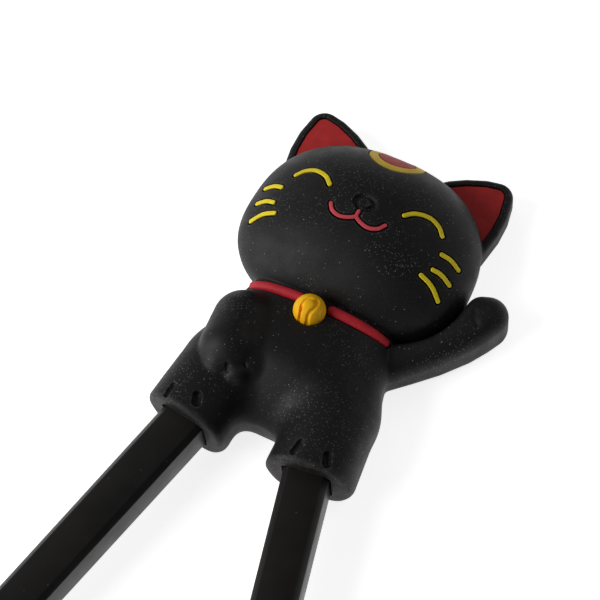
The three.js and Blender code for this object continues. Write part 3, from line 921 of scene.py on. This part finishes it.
for side, name in names.items():
    lines = {"eye": on_face(smooth_plan(EYE), side=side)}
    for row, plan in WHISKERS.items():
        lines[f"{row}_whisker"] = on_face(smooth_plan(plan, 3), side=side)
    for what, path in lines.items():
        piece = inlay(f"{name}_{what}_inlay", bar_sdf([path], LINE_RADIUS), *box_of([path], 0.8))
        finish_piece(piece, YELLOW, "topper", "line_yellow", f"{name}_{what}")
    path = COLLARS[side]
    piece = inlay(f"{name}_collar_strap", strap_sdf(path), *box_of([path], 1.2))
    finish_piece(piece, COLLAR_RED, "topper", "collar_red", f"{name}_collar")
    low, high = ((-20, 44, 3), (-2, 60, 6)) if side < 0 else ((2, 44, 3), (20, 60, 6))
    piece = inlay(f"{name}_ear_inlay_skin", ear_inlay, low, high, 0.14)
    finish_piece(piece, EAR_RED, "topper", "ear_red", f"{name}_ear_inlay")

piece = inlay("mouth_inlay", bar_sdf(MOUTH_LINES, MOUTH_RADIUS), *box_of(MOUTH_LINES, 0.8))
finish_piece(piece, MOUTH_RED, "topper", "mouth_red", "mouth")


def ring(p):
    r = emblem_radius(p)
    band = np.maximum(r - EMBLEM["outer"], EMBLEM["inner"] - r)
    return smax(band, np.abs(head(p) + 0.22) - 0.24, 0.12)


def disc(p):
    flat = emblem_radius(p) - EMBLEM["inner"] + EMBLEM["gap"]
    return smax(flat, np.abs(head(p) + 0.24) - 0.22, 0.12)


piece = inlay("forehead_ring_inlay", ring, (-7, 45, 4), (5, 55, 17), 0.11)
finish_piece(piece, GOLD, "topper", "gold_silicone", "forehead_ring")
piece = inlay("forehead_disc_inlay", disc, (-5, 46.5, 5), (3.5, 55, 17), 0.11)
finish_piece(piece, DISC_RED, "topper", "disc_red", "forehead_disc")


def on_bell(plan):
    plan = np.array(plan, float)
    rise = np.sqrt(np.maximum(BELL_RADIUS**2 - (plan**2).sum(1), 0))
    return BELL + np.column_stack([plan, rise])


# the bell's grooves, from its middle
HOOK = [(-0.55, -2.44), (-0.75, -1.3), (-0.86, -0.3), (-0.6, 0.55), (0.1, 0.95), (0.85, 0.9)]
CURL = [(0.75, -2.38), (0.7, -1.45), (0.9, -0.8), (1.15, -0.1), (1.0, 0.8)]
BELL_GROOVES = [  # (path, radius)
    (on_bell(smooth_plan(HOOK)), 0.2),
    (on_bell([(-0.55, -2.44), (-0.8, -0.6)]), 0.27),
    (on_bell(smooth_plan(CURL)), 0.29),
    (on_bell([(0.9, 0.95), (1.05, 0.5)]), 0.45),
]


def bell(p):
    d = np.linalg.norm(p - BELL, axis=1) - BELL_RADIUS
    for path, radius in BELL_GROOVES:
        d = smax(d, -chain(p, path, radius), 0.18)
    return d


piece = inlay("bell_dome", bell, BELL - 3.2, BELL + 3.2, 0.11)
finish_piece(piece, BELL_YELLOW, "topper", "bell_yellow", "bell")


# ------------------------------------------------------------------ chopsticks
# Distances along a stick from the sole; from STICK_OCTAGON on the section is a regular octagon.
STICK_TOP, STICK_UPPER, STICK_TIP, STICK_ROUND = -15.0, 65.0, 160.0, 2.4
STICK_OCTAGON = STICK_UPPER + (STICK_TIP - STICK_UPPER) / 1.3
STICK_CHAMFER, STICK_EDGE, TOP_EDGE = 0.85, 0.12, 0.25
STICK_CORNERS, CORNER_STEPS = 8, (0, 0.5, 1)


def stick_half(t):
    half = np.interp(t, [0, STICK_UPPER, STICK_TIP], [STICK_HALF, 3.25, 2.0])
    into = np.clip((t - (STICK_TIP - STICK_ROUND)) / STICK_ROUND, 0, 1)
    return half * np.sqrt(1 - 0.98 * into**2)


def stick_chamfer(t):
    """The chamfer as a share of the half width."""
    first = STICK_CHAMFER / STICK_HALF
    return np.interp(t, [0, STICK_UPPER, STICK_OCTAGON], [first, first, 2 - math.sqrt(2)])


def toward(corner, other):
    """Where the rounding of a corner starts on its way to another corner."""
    way = other - corner
    length = np.linalg.norm(way)
    return corner + way / max(length, 1e-6) * min(STICK_EDGE, 0.3 * length)


def chopstick(side):
    tip = STICK_TIP - STICK_ROUND * (1 - np.sin(np.linspace(0, math.pi / 2, 9)))
    stations = np.concatenate([[STICK_TOP, STICK_TOP + 0.2], np.linspace(-10, 155, 34), tip])
    rings = []
    for t in stations:
        half = float(stick_half(max(t, 0)))
        if t <= STICK_TOP:
            half -= TOP_EDGE
        flat = half * (1 - float(stick_chamfer(max(t, 0))))
        corners = np.array([(half, -flat), (half, flat), (flat, half), (-flat, half), (-half, flat),
                            (-half, -flat), (-flat, -half), (flat, -half)])
        ring_points = []
        for i, c in enumerate(corners):
            a = toward(c, corners[i - 1])
            b = toward(c, corners[(i + 1) % STICK_CORNERS])
            for s in CORNER_STEPS:
                ring_points.append((1 - s) ** 2 * a + 2 * s * (1 - s) * c + s * s * b)
        rings.append(np.column_stack([ring_points, np.full(len(ring_points), t)]))
    p = np.vstack(rings + [(0, 0, STICK_TOP), (0, 0, STICK_TIP)])
    m = STICK_CORNERS * len(CORNER_STEPS)
    walls = [(i * m + j, i * m + (j + 1) % m, (i + 1) * m + (j + 1) % m, (i + 1) * m + j)
             for i in range(len(rings) - 1) for j in range(m)]
    last = (len(rings) - 1) * m
    ends = [(j, len(p) - 2, (j + 1) % m) for j in range(m)]
    ends += [(last + j, last + (j + 1) % m, len(p) - 1) for j in range(m)]
    place = p @ stick_axes(side).T + STICK_MOUTH * (side, 1, 1)
    return make_mesh(f"{names[side]}_stick_body", place, np.array(walls), np.array(ends))


for side, name in names.items():
    finish_piece(chopstick(side), STICK, f"{name}_stick", "stick_plastic", f"{name}_chopstick")

bpy.context.view_layer.update()
